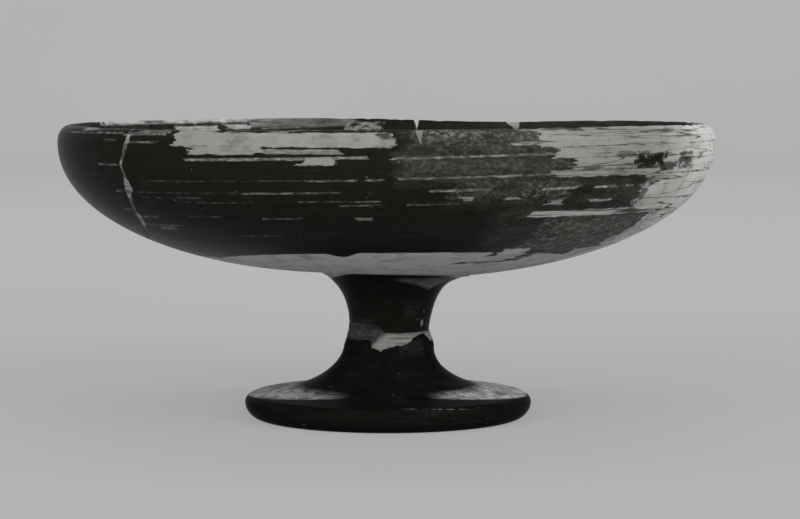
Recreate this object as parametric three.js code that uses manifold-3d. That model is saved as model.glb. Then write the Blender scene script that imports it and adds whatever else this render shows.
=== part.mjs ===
// A mended stemmed drinking cup of black-gloss pottery, in millimetres, +Z up.
// The origin is the centre of the foot's standing ring. +X is right and -Y is the front.
// The bowl and the foot are thrown apart and luted together with slip. A wall sherd is joined
// back to the bowl, the stem is broken at its waist, and plaster fills what the breaks lost.
import * as THREE from 'three';
import { mergeVertices } from 'three/addons/utils/BufferGeometryUtils.js';
import Module from 'manifold-3d';

// Bowl
const BOWL_DIAMETER = 220; // across the shoulder, the widest line
const BOWL_DEPTH = 46; // shoulder down to the lowest point of the round underside
const BOWL_FULLNESS = 2.1; // power of the section: 2 is an ellipse, more is fuller
const WALL = 5.5; // wall at the shoulder
const FLOOR = 7; // floor over the stem's seat
const LIP_HEIGHT = 5.5; // shoulder up to the crest of the lip
const LIP_CREST_INSET = 4.2; // outer face in to the crest of the lip
const SEAT_CUT = 0.5; // depth of the flat turned on the underside for the stem

// Stem
const STEM_HEIGHT = 47.2; // standing ring up to the stem's bed for the slip
const SLIP_BED = 0.8; // slip between the stem and the bowl
const WAIST_RADIUS = 13.5;
const WAIST_HEIGHT = 29.6;
const SHANK_RADIUS = 15.2; // the stem below the break is a little thicker
const SHANK_DROP = 5.1; // waist down to the top of the shank
const COLLAR_RADIUS = 26.5; // where the stem spreads out under the bowl
const COLLAR_EDGE = 0.6;
const NECK_RISE = 7; // how far the curve stays upright above the waist
const COLLAR_SPREAD = 10; // how far the curve lies flat below the bowl
const SHANK_FALL = 9; // how far the curve stays upright below the top of the shank
const FLARE_SPREAD = 9; // how far the curve lies along the top of the foot

// Foot
const FOOT_DIAMETER = 96.6;
const FOOT_EDGE_HEIGHT = 5.5; // height of the foot's widest line
const FOOT_TOP_HEIGHT = 8.2; // height where the top turns into the rounded edge
const FOOT_EDGE_ROUND = 4; // width of that turn
const FOOT_TOP_WIDTH = 7; // straight sloping part of the top
const FOOT_TOP_RISE = 0.9; // what it rises towards the stem
const FOOT_BASE_INSET = 5.3; // widest line in to the standing ring
const STANDING_RING_WIDTH = 10;

// Hollow cone under the foot, which runs up into the stem
const HOLLOW_THROAT_RADIUS = 7;
const HOLLOW_TIP_RADIUS = 5;
const HOLLOW_THROAT_DROP = 11.6; // waist down to the throat
const HOLLOW_TIP_RISE = 8.4; // waist up to the tip
const HOLLOW_ROOF_IN = 9; // curve of the roof, from the standing ring
const HOLLOW_ROOF_UP = 6;
const HOLLOW_SHOULDER_OUT = 1; // curve of the roof, from the throat
const HOLLOW_SHOULDER_DOWN = 11.5;

// Stem break, seen from the front: across from the axis, and down from the waist
const BREAK_LEFT_TOP = { across: -3.6, drop: -2.6 }; // the loss reaches higher at the left
const BREAK_TOP = { across: -1.9, drop: 0.2 };
const BREAK_LEFT = { across: -6.6, drop: 2.8 };
const BREAK_CORNER = { across: -5.4, drop: 5.3 };
const BREAK_LOWEST = { across: -2.7, drop: 6.1 };
const BREAK_STEP = { across: 7.3, drop: 3.3 };
const BREAK_CREST = { across: 10.6, drop: 1.3 };
const BREAK_TOOTH = { across: 12.4, drop: 1.2 };
const BREAK_NICK = { across: 13.6, drop: 3.4 };
const PLUG_REACH = 3; // plaster core into the hollow above and below the break

// Wall break, down the front of the sherd, under it and up its back: turn in degrees from +X,
// and drop below the crest of the lip
const SHERD_FRONT_LIP = { turn: 222.6, drop: 3 };
const SHERD_FRONT_SHOULDER = { turn: 221.4, drop: 9 };
const SHERD_FRONT_WALL = { turn: 220.7, drop: 12 };
const SHERD_BRUISE_TOP = { turn: 220.4, drop: 15.8 };
const SHERD_BRUISE = { turn: 220.6, drop: 17.7 }; // where the edges are bruised away
const SHERD_BRUISE_END = { turn: 219, drop: 20 };
const SHERD_FRONT_BELLY = { turn: 218.5, drop: 23.3 };
const SHERD_FRONT_BEND = { turn: 216.8, drop: 27.6 };
const SHERD_FRONT_HEEL = { turn: 214, drop: 31.6 };
const SHERD_UNDER_FRONT = { turn: 206, drop: 35.5 };
const SHERD_LOWEST = { turn: 194, drop: 38 };
const SHERD_UNDER_BACK = { turn: 182, drop: 37 };
const SHERD_BACK_HEEL = { turn: 172, drop: 32 };
const SHERD_BACK_BELLY = { turn: 166, drop: 24 };
const SHERD_BACK_WALL = { turn: 162.5, drop: 14 };
const SHERD_BACK_LIP = { turn: 161, drop: 6 };
const SHERD_BACK_END_TURN = 160; // where the break leaves the lip
const BRUISE_FILL_WIDTH = 3.2;
const WALL_FILL_WIDTH = 0.9;

// Chips in the lip: turn in degrees, width at the crest, depth, and tip across from the middle
const FRONT_CHIP = { turn: 275.1, width: 2.1, depth: 4.3, tip: 0.35 };
const BACK_CHIP = { turn: 64, width: 6, depth: 4, tip: -2.2 };
const BACK_NOTCH = { turn: 84.3, width: 2, depth: 4.4, tip: 0 };

const JOIN_GAP = 0.3; // between a mended piece and its neighbour
const CUT_MARGIN = 4; // how far a cutting shape runs past what it cuts

const BOWL_STEPS = 64;
const STEM_STEPS = 40;
const CURVE_STEPS = 10;
const ROUND_STEPS = 4;

// Sizes that follow
const bowlRadius = BOWL_DIAMETER / 2;
const seatHeight = STEM_HEIGHT + SLIP_BED;
const shoulderHeight = seatHeight - SEAT_CUT + BOWL_DEPTH;
const crestHeight = shoulderHeight + LIP_HEIGHT;
const footRadius = FOOT_DIAMETER / 2;
const ringOuter = footRadius - FOOT_BASE_INSET;
const ringInner = ringOuter - STANDING_RING_WIDTH;
const tipHeight = WAIST_HEIGHT + HOLLOW_TIP_RISE;
const throatHeight = WAIST_HEIGHT - HOLLOW_THROAT_DROP;
const seatFlatRadius = outsideRadius(seatHeight);

// The wall break runs past the crest at both ends
const wallBreak = [
  { turn: SHERD_FRONT_LIP.turn, drop: -CUT_MARGIN },
  SHERD_FRONT_LIP,
  SHERD_FRONT_SHOULDER,
  SHERD_FRONT_WALL,
  SHERD_BRUISE_TOP,
  SHERD_BRUISE,
  SHERD_BRUISE_END,
  SHERD_FRONT_BELLY,
  SHERD_FRONT_BEND,
  SHERD_FRONT_HEEL,
  SHERD_UNDER_FRONT,
  SHERD_LOWEST,
  SHERD_UNDER_BACK,
  SHERD_BACK_HEEL,
  SHERD_BACK_BELLY,
  SHERD_BACK_WALL,
  SHERD_BACK_LIP,
  { turn: SHERD_BACK_END_TURN, drop: -CUT_MARGIN },
];

const blackGloss = { color: 0x1c1c18, roughness: 0.3, metalness: 0 };
const plaster = { color: 0x9c9c97, roughness: 0.9, metalness: 0 };
const slip = { color: 0x807e76, roughness: 0.85, metalness: 0 };

const wasm = await Module();
wasm.setup();

// A closed geometry as a solid that can be joined and cut
function solidOf(geometry) {
  geometry.deleteAttribute('normal');
  geometry.deleteAttribute('uv');
  const merged = mergeVertices(geometry, 1e-4);
  const corners = merged.index.array;
  const triangles = [];
  for (let i = 0; i < corners.length; i += 3) {
    const [a, b, c] = corners.slice(i, i + 3);
    if (a !== b && b !== c && c !== a) triangles.push(a, b, c);
  }
  return new wasm.Manifold(new wasm.Mesh({
    numProp: 3,
    vertProperties: new Float32Array(merged.attributes.position.array),
    triVerts: new Uint32Array(triangles),
  }));
}

function meshOf(name, solid, finish) {
  const { vertProperties, triVerts } = solid.getMesh();
  const geometry = new THREE.BufferGeometry();
  geometry.setAttribute('position', new THREE.BufferAttribute(vertProperties, 3));
  geometry.setIndex(new THREE.BufferAttribute(triVerts, 1));
  geometry.computeVertexNormals();
  const mesh = new THREE.Mesh(geometry, new THREE.MeshStandardMaterial(finish));
  mesh.name = name;
  return mesh;
}

// A turned solid, from its section as points of radius and height
function turned(section, steps) {
  const apart = section.filter((point, i) => i === 0 || Math.hypot(
    point[0] - section[i - 1][0],
    point[1] - section[i - 1][1],
  ) > 1e-6);
  const points = apart.map(([radius, height]) => new THREE.Vector2(radius, height));
  return solidOf(new THREE.LatheGeometry(points, steps).rotateX(Math.PI / 2));
}

// A solid in two pieces, the larger first
function twoPieces(solid) {
  return solid.decompose().sort((a, b) => b.volume() - a.volume());
}

// The bowl's outer face: its height at a radius, and its radius at a height
function undersideHeight(radius) {
  const across = (radius / bowlRadius) ** BOWL_FULLNESS;
  return shoulderHeight - BOWL_DEPTH * (1 - across) ** (1 / BOWL_FULLNESS);
}

function outsideRadius(height) {
  const down = Math.max(0, (shoulderHeight - height) / BOWL_DEPTH) ** BOWL_FULLNESS;
  return bowlRadius * (1 - down) ** (1 / BOWL_FULLNESS);
}

// A bowl section from its shoulder down to a radius
function bellied(radius, depth, lastRadius) {
  const power = 2 / BOWL_FULLNESS;
  const lastTurn = Math.acos((lastRadius / radius) ** (1 / power));
  const points = [];
  for (let i = 0; i <= CURVE_STEPS; i += 1) {
    const turn = (lastTurn * i) / CURVE_STEPS;
    points.push([
      radius * Math.abs(Math.cos(turn)) ** power,
      shoulderHeight - depth * Math.sin(turn) ** power,
    ]);
  }
  points[CURVE_STEPS][0] = lastRadius;
  return points;
}

// A quarter of an ellipse that leaves one point upright and reaches the other level
function quarterRound([sideRadius, sideHeight], [levelRadius, levelHeight]) {
  const points = [];
  for (let i = 0; i <= ROUND_STEPS; i += 1) {
    const turn = (Math.PI / 2) * (i / ROUND_STEPS);
    points.push([
      levelRadius + (sideRadius - levelRadius) * Math.cos(turn),
      sideHeight + (levelHeight - sideHeight) * Math.sin(turn),
    ]);
  }
  return points;
}

function bezier(...corners) {
  const curve = new THREE.CubicBezierCurve(...corners.map((corner) => new THREE.Vector2(...corner)));
  return curve.getPoints(CURVE_STEPS).map((point) => [point.x, point.y]);
}

function wholeBowl() {
  const innerRadius = bowlRadius - WALL;
  const innerDepth = shoulderHeight - seatHeight - FLOOR;
  const crest = [bowlRadius - LIP_CREST_INSET, crestHeight];
  return turned([
    [0, seatHeight],
    ...bellied(bowlRadius, BOWL_DEPTH, seatFlatRadius).reverse(),
    ...quarterRound([bowlRadius, shoulderHeight], crest),
    ...quarterRound([innerRadius, shoulderHeight], crest).reverse(),
    ...bellied(innerRadius, innerDepth, 0),
  ], BOWL_STEPS);
}

// Stem and foot as thrown in one, before the hollow is cut
function wholeStem() {
  const waist = [WAIST_RADIUS, WAIST_HEIGHT];
  const shank = [SHANK_RADIUS, WAIST_HEIGHT - SHANK_DROP];
  const edge = [footRadius, FOOT_EDGE_HEIGHT];
  const edgeTop = [footRadius - FOOT_EDGE_ROUND, FOOT_TOP_HEIGHT];
  const flareRadius = edgeTop[0] - FOOT_TOP_WIDTH;
  const flareHeight = FOOT_TOP_HEIGHT + FOOT_TOP_RISE;
  const flareHandleHeight = flareHeight + FLARE_SPREAD * (FOOT_TOP_RISE / FOOT_TOP_WIDTH);
  const collarHeight = undersideHeight(COLLAR_RADIUS) - JOIN_GAP - COLLAR_EDGE;
  const collarTop = [COLLAR_RADIUS, (COLLAR_RADIUS + seatFlatRadius) / 2, seatFlatRadius];
  return turned([
    [0, 0],
    ...quarterRound(edge, [ringOuter, 0]).reverse(),
    ...quarterRound(edge, edgeTop),
    ...bezier(
      [flareRadius, flareHeight],
      [flareRadius - FLARE_SPREAD, flareHandleHeight],
      [SHANK_RADIUS, shank[1] - SHANK_FALL],
      shank,
    ),
    ...bezier(
      waist,
      [WAIST_RADIUS, WAIST_HEIGHT + NECK_RISE],
      [COLLAR_RADIUS - COLLAR_SPREAD, collarHeight],
      [COLLAR_RADIUS, collarHeight],
    ),
    ...collarTop.map((radius) => [radius, undersideHeight(radius) - JOIN_GAP]),
    [seatFlatRadius, STEM_HEIGHT],
    [0, STEM_HEIGHT],
  ], STEM_STEPS);
}

function hollow() {
  return turned([
    [0, -CUT_MARGIN],
    [ringInner, -CUT_MARGIN],
    ...bezier(
      [ringInner, 0],
      [ringInner - HOLLOW_ROOF_IN, HOLLOW_ROOF_UP],
      [HOLLOW_THROAT_RADIUS + HOLLOW_SHOULDER_OUT, throatHeight - HOLLOW_SHOULDER_DOWN],
      [HOLLOW_THROAT_RADIUS, throatHeight],
    ),
    [HOLLOW_TIP_RADIUS, tipHeight],
    [0, tipHeight],
  ], STEM_STEPS);
}

// Radius of the hollow where it tapers up through the stem
function hollowRadius(height) {
  const share = (height - throatHeight) / (tipHeight - throatHeight);
  return HOLLOW_THROAT_RADIUS + (HOLLOW_TIP_RADIUS - HOLLOW_THROAT_RADIUS) * share;
}

// What is lost between the two faces of the stem break, drawn in by a gap on both
function stemLoss(gap) {
  const reach = SHANK_RADIUS + CUT_MARGIN;
  const upperFace = [
    { across: reach, drop: BREAK_TOP.drop },
    BREAK_TOP,
    BREAK_LEFT_TOP,
    { across: -reach, drop: BREAK_LEFT_TOP.drop },
  ];
  const lowerFace = [
    { across: -reach, drop: BREAK_LEFT.drop },
    BREAK_LEFT,
    BREAK_CORNER,
    BREAK_LOWEST,
    BREAK_STEP,
    BREAK_CREST,
    BREAK_TOOTH,
    BREAK_NICK,
    { across: reach, drop: BREAK_NICK.drop },
  ];
  const shape = new THREE.Shape([
    ...lowerFace.map(({ across, drop }) => new THREE.Vector2(across, gap - drop)),
    ...upperFace.map(({ across, drop }) => new THREE.Vector2(across, -drop - gap)),
  ]);
  const slab = new THREE.ExtrudeGeometry(shape, { depth: 2 * reach, bevelEnabled: false });
  slab.rotateX(Math.PI / 2);
  slab.translate(0, reach, WAIST_HEIGHT);
  return solidOf(slab);
}

// Plaster core that fills the hollow across the stem break
function stemPlug() {
  const low = WAIST_HEIGHT - BREAK_LOWEST.drop - PLUG_REACH;
  const high = WAIST_HEIGHT - BREAK_LEFT_TOP.drop + PLUG_REACH;
  return turned([
    [0, low],
    [hollowRadius(low) - JOIN_GAP, low],
    [hollowRadius(high) - JOIN_GAP, high],
    [0, high],
  ], STEM_STEPS);
}

// A point of the wall break on the bowl's outer face, with the way out of the wall there
function breakPoint({ turn, drop }) {
  const angle = THREE.MathUtils.degToRad(turn);
  const height = crestHeight - drop;
  const radius = outsideRadius(height);
  const down = Math.max(0, (shoulderHeight - height) / BOWL_DEPTH);
  const outward = (radius / bowlRadius) ** (BOWL_FULLNESS - 1) / bowlRadius;
  const downward = down ** (BOWL_FULLNESS - 1) / BOWL_DEPTH;
  const away = new THREE.Vector3(Math.cos(angle) * outward, Math.sin(angle) * outward, -downward);
  return {
    place: new THREE.Vector3(Math.cos(angle) * radius, Math.sin(angle) * radius, height),
    away: away.normalize(),
  };
}

// A ribbon that stands through the wall all along the break
function breakRibbon(gap) {
  const points = wallBreak.map(breakPoint);
  const outer = CUT_MARGIN;
  const inner = -WALL - CUT_MARGIN;
  const rings = points.map(({ place, away }, i) => {
    const before = points[Math.max(i - 1, 0)].place;
    const after = points[Math.min(i + 1, points.length - 1)].place;
    const side = new THREE.Vector3().crossVectors(away, after.clone().sub(before)).normalize();
    const width = wallBreak[i] === SHERD_BRUISE ? BRUISE_FILL_WIDTH : WALL_FILL_WIDTH;
    const half = width / 2 + gap;
    return [[half, outer], [-half, outer], [-half, inner], [half, inner]].map(
      ([across, out]) => place.clone().addScaledVector(side, across).addScaledVector(away, out),
    );
  });
  const triangles = [];
  const addQuad = (a, b, c, d) => triangles.push(a, b, c, a, c, d);
  const [firstRing, lastRing] = [rings[0], rings.at(-1)];
  addQuad(...[...firstRing].reverse());
  rings.slice(1).forEach((ring, i) => {
    ring.forEach((corner, j) => {
      const k = (j + 1) % ring.length;
      addQuad(rings[i][j], rings[i][k], ring[k], corner);
    });
  });
  addQuad(...lastRing);
  const geometry = new THREE.BufferGeometry().setFromPoints(triangles);
  return solidOf(geometry);
}

// A wedge through the lip for a chip, drawn in by a gap on its two sides
function chipWedge({ turn, width, depth, tip }, gap) {
  const leftGap = (gap * Math.hypot(width / 2 + tip, depth)) / depth;
  const rightGap = (gap * Math.hypot(width / 2 - tip, depth)) / depth;
  const share = 1 - (leftGap + rightGap) / width;
  const left = leftGap - width / 2;
  const right = width / 2 - rightGap;
  const shape = new THREE.Shape([
    new THREE.Vector2(left, 0),
    new THREE.Vector2(left + (width / 2 + tip) * share, -depth * share),
    new THREE.Vector2(right, 0),
    new THREE.Vector2(right, CUT_MARGIN),
    new THREE.Vector2(left, CUT_MARGIN),
  ]);
  const reach = WALL + 2 * CUT_MARGIN;
  const wedge = new THREE.ExtrudeGeometry(shape, { depth: reach, bevelEnabled: false });
  const angle = THREE.MathUtils.degToRad(turn);
  const outward = new THREE.Vector3(Math.cos(angle), Math.sin(angle), 0);
  const up = new THREE.Vector3(0, 0, 1);
  const along = new THREE.Vector3().crossVectors(up, outward);
  wedge.translate(0, 0, bowlRadius - WALL - CUT_MARGIN);
  wedge.applyMatrix4(new THREE.Matrix4().makeBasis(along, up, outward));
  wedge.translate(0, 0, crestHeight);
  return solidOf(wedge);
}

function slipBed() {
  const radius = seatFlatRadius - JOIN_GAP;
  return turned([
    [0, STEM_HEIGHT],
    [radius, STEM_HEIGHT],
    [radius, seatHeight],
    [0, seatHeight],
  ], STEM_STEPS);
}

const bowlAsThrown = wholeBowl();
const stemAsThrown = wholeStem();

const [bowlMended, rimSherd] = twoPieces(bowlAsThrown.subtract(breakRibbon(JOIN_GAP)));
const bowl = [FRONT_CHIP, BACK_CHIP, BACK_NOTCH]
  .reduce((cut, chip) => cut.subtract(chipWedge(chip, 0)), bowlMended);
const [foot, upperStem] = twoPieces(stemAsThrown.subtract(hollow()).subtract(stemLoss(0)));
const stemFill = stemAsThrown.intersect(stemLoss(JOIN_GAP)).add(stemPlug());

const kylix = new THREE.Group();
kylix.add(
  meshOf('bowl', bowl, blackGloss),
  meshOf('left_rim_sherd', rimSherd, blackGloss),
  meshOf('left_break_fill', bowlAsThrown.intersect(breakRibbon(0)), plaster),
  meshOf('front_rim_fill', bowlAsThrown.intersect(chipWedge(FRONT_CHIP, JOIN_GAP)), plaster),
  meshOf('back_rim_fill', bowlAsThrown.intersect(chipWedge(BACK_CHIP, JOIN_GAP)), plaster),
  meshOf('luting_slip', slipBed(), slip),
  meshOf('upper_stem', upperStem, blackGloss),
  meshOf('stem_break_fill', stemFill, plaster),
  meshOf('foot', foot, blackGloss),
);

export default kylix;
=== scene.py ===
import functools
import math
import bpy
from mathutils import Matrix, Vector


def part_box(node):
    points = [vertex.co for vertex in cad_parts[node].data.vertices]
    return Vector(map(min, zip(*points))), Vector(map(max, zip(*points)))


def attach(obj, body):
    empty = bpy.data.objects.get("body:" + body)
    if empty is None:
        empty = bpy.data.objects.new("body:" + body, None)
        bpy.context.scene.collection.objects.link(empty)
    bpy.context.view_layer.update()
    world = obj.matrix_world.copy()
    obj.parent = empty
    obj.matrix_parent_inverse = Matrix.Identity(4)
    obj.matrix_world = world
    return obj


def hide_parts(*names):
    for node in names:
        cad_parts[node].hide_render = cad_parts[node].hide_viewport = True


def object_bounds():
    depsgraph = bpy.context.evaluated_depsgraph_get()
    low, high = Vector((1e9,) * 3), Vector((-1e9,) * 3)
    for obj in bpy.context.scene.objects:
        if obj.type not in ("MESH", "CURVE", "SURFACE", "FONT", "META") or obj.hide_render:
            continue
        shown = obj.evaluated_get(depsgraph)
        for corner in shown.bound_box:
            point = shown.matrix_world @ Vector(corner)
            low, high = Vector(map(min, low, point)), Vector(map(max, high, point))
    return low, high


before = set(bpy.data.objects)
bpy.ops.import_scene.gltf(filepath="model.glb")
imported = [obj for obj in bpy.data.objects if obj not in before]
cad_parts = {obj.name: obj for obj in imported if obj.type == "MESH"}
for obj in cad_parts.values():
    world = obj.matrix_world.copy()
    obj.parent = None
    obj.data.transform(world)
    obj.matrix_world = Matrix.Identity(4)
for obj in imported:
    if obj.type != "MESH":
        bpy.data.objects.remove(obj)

from types import SimpleNamespace

import bpy
import numpy as np
from bpy.props import FloatProperty, FloatVectorProperty, PointerProperty
from mathutils import Euler, Vector

bl_info = {
    "name": "Mended stemmed cup",
    "version": (1, 0, 0),
    "blender": (4, 5, 0),
    "location": "3D View > Sidebar > Cup",
    "description": "A worn black-gloss drinking cup with a mended bowl and stem",
    "category": "Add Mesh",
}

MM = 0.001
UP = Vector((0, 0, 1))
CAD_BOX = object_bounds()
BOWL_RADIUS = (CAD_BOX[1].x - CAD_BOX[0].x) / 2
CREST = CAD_BOX[1].z
FOOT_LOW, FOOT_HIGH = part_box("foot")
FOOT_RADIUS = (FOOT_HIGH.x - FOOT_LOW.x) / 2
SLIP_LOW, SLIP_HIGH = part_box("luting_slip")
SLIP_RADIUS = SLIP_HIGH.x
SEAT = SLIP_HIGH.z

# Camera in front of the cup and a little above the lip.
CAMERA_PLACE = (4.04 * MM, -0.9, 0.117)
CAMERA_PITCH = math.radians(-4.06)
CAMERA_LENS = 120.4
CAMERA_SENSOR = 36

# Lamps: name, place, aim, size and power.
LAMPS = (
    ("key", (1.5, -1.9, 1.1), (0, 0, 0), 1.8, 40),
    ("fill", (-1.3, -2.1, 1.0), (0, 0, 0), 1.8, 32),
    ("backdrop", (0, 0.9, 2.2), (0, 3.2, 0.6), 2.4, 30),
)
SKY_STRENGTH = 0.38

# Share of the backdrop's colour that the camera sees without shade.
EVEN_BACKDROP = 0.6

# The turning lines of the bowl climb a little to the right. Flakes of less half height follow them.
LINE_TILT = 0.023
THIN = 0.6

# Random phases of waves run over a whole turn.
WHOLE_TURN = 6.3

BOWL_STEPS = 720
STEM_STEPS = 360
STEM_TURN = np.linspace(0, 2 * math.pi, STEM_STEPS, endpoint=False)

# Edges sharper than these angles stay sharp.
WALL_SHARP = 35
STEM_SHARP = 50

# Gaps in the joins of the wall and of the stem, and between the plaster core and the stem's hollow.
WALL_JOIN = 0.04 * MM
STEM_JOIN = 0.03 * MM
CORE_GAP = 0.3 * MM

# Hollow in the stem: its ends below and above the waist, its lower radius, and what it narrows by.
HOLLOW_DROP = 11.6 * MM
HOLLOW_RISE = 8.4 * MM
HOLLOW_RADIUS = 7 * MM
HOLLOW_TAPER = 2 * MM

# Waves round the bowl: count, size and phase. The ovals are shares of the radius, the rim's millimetres.
BOWL_OVALS = ((2, 0.0012, 0.7), (5, 0.0005, 2))
RIM_WAVES = ((2, 0.1, -0.5), (7, 0.05, 1))

# Wall break: turn from the front in degrees, right positive, drop below the crest and width of its
# plaster in millimetres.
WALL_BREAK = (
    (-47, -4, 1.5), (-46.6, 3, 1.6), (-46.9, 5.5, 1.7), (-47.6, 8, 0.9), (-48.6, 11, 1.1),
    (-48.4, 14.6, 0.8), (-48.4, 16.4, 2.2), (-48.7, 18.4, 3.6), (-49.7, 20.2, 2), (-50.8, 23.3, 1.1),
    (-52.4, 27, 1.6), (-54, 29.8, 2), (-56.4, 31.8, 1.4), (-64, 35.5, 0.8), (-76, 38, 0.8), (-88, 37, 0.8),
    (-98, 32, 0.8), (-104, 24, 0.8), (-107.5, 14, 0.8), (-109, 6, 0.8), (-110, -4, 0.8),
)

# Chips in the lip: turn from the front, width at the crest, depth, and tip across from the middle.
FRONT_CHIP = (5.3, 2.7, 4.6, 0.4)
BACK_CHIP = (154, 6, 4, -2.2)
BACK_NOTCH = (174.3, 2, 4.4, 0)

# Rises and dips of the rim: turn, rise in millimetres, and breadth in degrees.
RIM_SWAYS = ((45, 0.65, 35), (-45, -0.3, 35), (158, -1.6, 22), (-135, -0.3, 35))

# Stem break seen from the front: across from the axis, and drop below the waist, in millimetres.
BREAK_UPPER = ((-18, -2.8), (-6, -2.7), (-3.4, -2.3), (-2.4, -1), (-1.7, 0.15), (18, 0.15))
BREAK_LOWER = (
    (-18, 3.4), (-12, 2.9), (-6.8, 2.7), (-6, 3.4), (-5.4, 5.3), (-4, 5.6), (-2.7, 6.2), (-1.6, 5.2),
    (0, 4.8), (4, 4.2), (7.3, 3.3), (8.9, 1.9), (10.6, 1.1), (12.2, 0.55), (12.9, 1.8), (13.6, 3.6),
    (18, 3.6),
)
# Sway of the mended stem's axis: height, and shift to the right, in millimetres.
STEM_SWAY = ((8, 0), (12, -0.3), (17, -0.35), (25, 0.4), (30, 0.3), (35, 0.75), (42, 0.95), (52, 1.05))

# Places along the wall break where the plaster was left pale: height, and half height, in millimetres.
WALL_BEADS = ((95.8, 1.8), (88.4, 0.9), (81.4, 2.8), (77.8, 0.9), (71, 1.2), (68.5, 1.4))

# Flakes in the gloss: from turn, to turn, bottom, top, and how bare the clay is.
BOWL_FLAKES = (
    (-36, 1, 94, 98.2, 1), (-33, -19.5, 91.6, 94.2, 1), (-20, -7, 92, 93.4, 0.95),
    (-34, -2.5, 90, 90.8, 0.95), (-13.5, -8.6, 88.5, 90.6, 1), (-12.5, -4.5, 83.8, 84.3, 0.9),
    (-3.6, -0.3, 84, 84.6, 1), (-44, -14, 83.2, 83.6, 0.2), (-23, -6.2, 79.9, 80.4, 0.7),
    (-46, -24, 79.3, 79.7, 0.22), (-14.6, -7, 77.4, 77.8, 0.5), (-6, -0.9, 77.5, 77.9, 0.55),
    (-8.6, -0.7, 76.3, 76.7, 0.55), (-22.5, -16.2, 71.7, 72.2, 0.6), (-4.3, -3.1, 71.8, 72.7, 1),
    (-39, -31, 71.7, 72.1, 0.4), (-54, -41, 67.9, 68.4, 0.5), (-30, -20, 65.8, 66.2, 0.35),
    (-38, -25, 76.4, 76.8, 0.25), (-46, -30, 77.6, 78, 0.25), (1, 28.3, 91, 91.7, 0.75),
    (2, 28, 84.9, 85.5, 0.65), (17.8, 19.7, 84.8, 85.7, 0.8), (6.7, 17.7, 80.8, 81.5, 0.85),
    (12.1, 15, 77.8, 79, 1), (20.3, 22.1, 78.1, 79, 0.85), (3.6, 14, 76.7, 77.2, 0.45),
    (27, 33.4, 80.9, 81.8, 0.95), (36.8, 41.4, 81.1, 81.8, 0.9), (43.5, 45.9, 81.1, 81.8, 0.85),
    (27.7, 31.5, 76.2, 77.8, 0.65), (36.5, 41.7, 76.8, 77.5, 0.85), (25.7, 60, 72.2, 74.1, 1),
    (26.6, 34, 59, 61.4, 0.95), (24.8, 100, 94, 100, 1), (20.5, 34, 94.7, 95.8, 0.9),
    (28, 100, 90.6, 94, 1), (31, 100, 86.8, 90.6, 1), (28, 100, 84.7, 86.8, 1), (48.5, 105, 72.6, 84.7, 1),
    (58, 105, 60.6, 73, 0.95), (50.5, 80, 54, 60.2, 0.9), (-70, -49, 97, 97.4, 0.8),
    (-63.5, -58.5, 97.8, 98.7, 1), (-47, -39, 96.9, 97.7, 0.8), (-47, -39, 94.6, 95.1, 0.8),
    (-36, -25, 98, 99, 1), (-55, -49.5, 87.3, 87.8, 0.6), (-53.6, -50.4, 78.9, 79.5, 0.6),
    (-56, -52.4, 72.6, 73.3, 0.5), (-53, -46.5, 70.6, 71.2, 0.7), (-53.4, -50.4, 95, 95.6, 0.4),
    (-45, -38, 97.6, 98.6, 0.7), (-36, -28.5, 97.8, 100, 1), (-26, -22.5, 98.8, 100, 0.8),
    (-2, 2, 93.9, 95, 0.9), (-49.5, -45, 66.6, 67.6, 0.6),
)
# Gloss left standing inside those flakes, and its drips over the bare underside.
BOWL_REMNANTS = (
    (44.5, 53, 86.6, 91.4, 1), (40, 47, 90.4, 92.2, 0.7), (52, 57, 85.6, 88.4, 0.8),
    (57.5, 62.5, 86, 91.3, 0.8), (48.5, 51, 73, 84, 0.8), (30.6, 33, 98.5, 100, 1),
    (-1, 2.4, 96.4, 98.6, 0.8), (24.6, 26.6, 58.9, 61.8, 1), (19, 34, 56.7, 57.4, 1.6),
    (31, 37, 57.2, 58.2, 1.4), (34.4, 38, 57.9, 60.6, 0.9),
)
# Gloss worn through in specks.
BOWL_SPECKLED = (
    (4.5, 11, 97.4, 100, 0.9), (4, 26, 96, 99.8, 0.55), (8, 30, 91.8, 96.4, 0.25), (3, 31, 85.6, 91, 0.18),
    (10, 32, 78, 85, 0.25), (30, 58, 60, 72, 0.3),
)
# Gloss rubbed thin over wider stretches.
BOWL_THIN = (
    (4, 26, 95.6, 99.6, 1), (8, 30, 91.8, 96, 0.75), (3, 34, 85.5, 91, 0.85), (12, 34, 78, 85, 0.65),
    (20, 36, 60, 78, 0.5), (28, 62, 58, 73, 1), (36, 52, 74, 85, 0.6), (48, 52, 72, 84, 1),
    (-64, -34, 58, 72, 0.12),
)
# Clay whose turning lines show.
BOWL_LINED = ((24, 110, 64, 102, 0.85),)
# Flakes inside the bowl: sharp ones, smeared ones, and ones that have crumbled.
INSIDE_FLAKES = (
    (-143.5, -132, 94.8, 96.4, 1), (-150, -144.5, 95.2, 96.8, 1), (-163, -153, 95.2, 95.8, 0.7),
    (84, 99, 92, 100, 0.9),
)
INSIDE_SMEARS = ((-145, -108, 97.6, 101, 0.95), (-153, -143, 97.7, 101, 0.6), (-172, -150, 95.8, 100, 0.5))
INSIDE_CRUMBS = ((-178.3, -171, 94.3, 97.4, 0.95), (-157, -150, 96.6, 97.4, 0.5))
STEM_FLAKES = (
    (51.5, 56, 31.2, 33.4, 0.7), (52, 54.5, 37.8, 38.6, 0.4), (43, 55, 35.3, 35.7, 0.25),
)
STEM_THIN = ((-75, -20, 31.8, 33.6, 0.35), (20, 44, 34, 40, 0.2), (15, 50, 22.5, 26.6, 0.3))


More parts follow.
